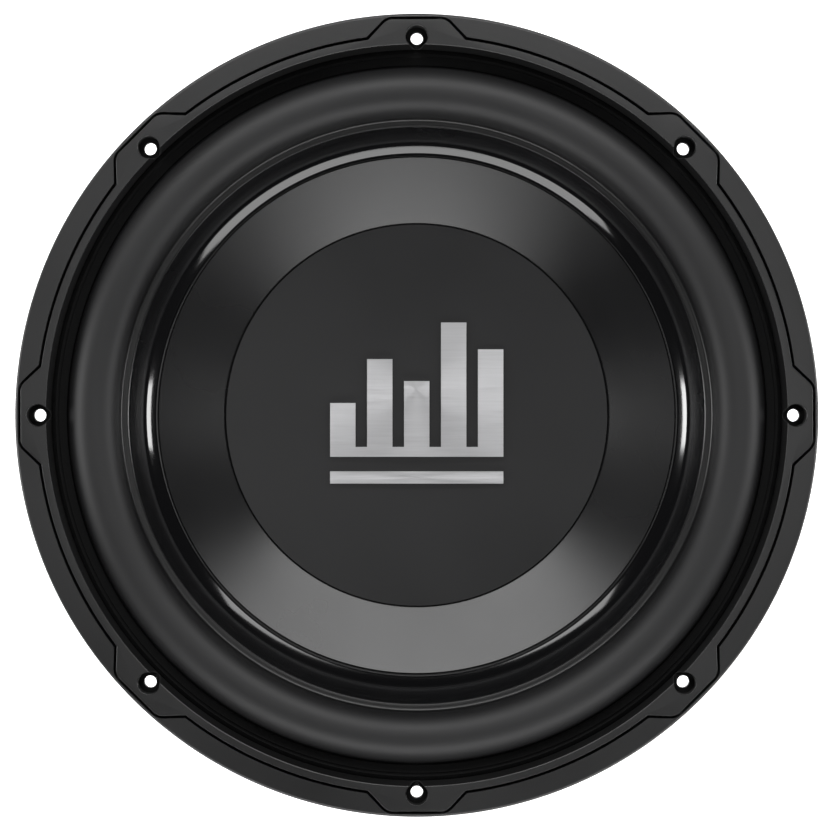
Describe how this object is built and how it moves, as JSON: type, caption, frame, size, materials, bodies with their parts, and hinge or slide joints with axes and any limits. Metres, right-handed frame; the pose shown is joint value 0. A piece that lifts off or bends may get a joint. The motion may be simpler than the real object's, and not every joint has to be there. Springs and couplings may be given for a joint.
{
  "type": "car subwoofer speaker",
  "caption": "Round car subwoofer driver with lobed front ring, roll surround, shallow black cone with wide dust cap, windowed basket, magnet motor and push terminals",
  "frame": {"origin": "centre of the mounting screw circle, in the plane under the basket's flange that seats on the panel", "axes": "+Z out of the front along the axis of the speaker, -Y towards the side with the wire terminals, +X to the right seen from the front"},
  "size_m": [0.319, 0.319, 0.156],
  "materials": {
    "ring_plastic": "fine-grained black moulded plastic with a soft sheen",
    "surround_rubber": "black butyl rubber, satin",
    "cone_poly": "black moulded mineral-filled plastic, satin with fine grain, glossy rim band",
    "cap_poly": "black moulded plastic, soft satin",
    "emblem_metal": "brushed aluminium badge",
    "basket_paint": "black powder coat on stamped steel",
    "former_metal": "thin aluminium tube, lacquered",
    "copper_wire": "enamelled copper wire in close turns",
    "collar_paper": "brown reinforcing paper",
    "adhesive": "dark cured adhesive",
    "spider_cloth": "resin-stiffened woven cloth",
    "terminal_brass": "plated brass",
    "tinsel_braid": "braided tinsel wire",
    "motor_steel": "black-coated steel plate",
    "ferrite": "dark grey sintered ferrite",
    "screen_steel": "black perforated steel",
    "screw_steel": "zinc-plated steel screws",
    "terminal_plastic": "black moulded plastic",
    "button_red": "red moulded plastic",
    "button_black": "black moulded plastic",
    "spring_steel": "bright spring wire"
  },
  "bodies": {
    "frame": {"outer_trim_ring": "ring_plastic", "mounting_ring": "ring_plastic", "surround": "surround_rubber", "basket": "basket_paint", "spider": "spider_cloth", "positive_tinsel": "tinsel_braid", "negative_tinsel": "tinsel_braid", "top_plate": "motor_steel", "magnet_front": "ferrite", "magnet_rear": "ferrite", "yoke": "motor_steel", "vent_screen": "screen_steel", "motor_screws": "screw_steel", "terminal_block": "terminal_plastic", "terminal_screws": "screw_steel", "positive_spring": "spring_steel", "negative_spring": "spring_steel", "positive_lug": "terminal_brass", "negative_lug": "terminal_brass"},
    "moving_cone": {"cone": "cone_poly", "dust_cap": "cap_poly", "emblem": "emblem_metal", "emblem_strip": "emblem_metal", "coil_former": "former_metal", "voice_coil": "copper_wire", "former_collar": "collar_paper", "neck_adhesive": "adhesive", "lead_eyelets": "terminal_brass"},
    "positive_push": {"positive_button": "button_red"},
    "negative_push": {"negative_button": "button_black"}
  },
  "joints": [
    {"name": "cone_slide", "type": "slide", "parent": "frame", "child": "moving_cone", "axis": [0, 0, 1], "range_m": [-0.012, 0.012], "stiffness_N_per_m": 5300, "deforming": ["surround", "spider", "positive_tinsel", "negative_tinsel"]},
    {"name": "positive_press", "type": "slide", "parent": "frame", "child": "positive_push", "axis": [0, 0, 1], "range_m": [0, 0.0035], "stiffness_N_per_m": 900, "springref_m": -0.003, "deforming": ["positive_spring"]},
    {"name": "negative_press", "type": "slide", "parent": "frame", "child": "negative_push", "axis": [0, 0, 1], "range_m": [0, 0.0035], "stiffness_N_per_m": 900, "springref_m": -0.003, "deforming": ["negative_spring"]}
  ]
}
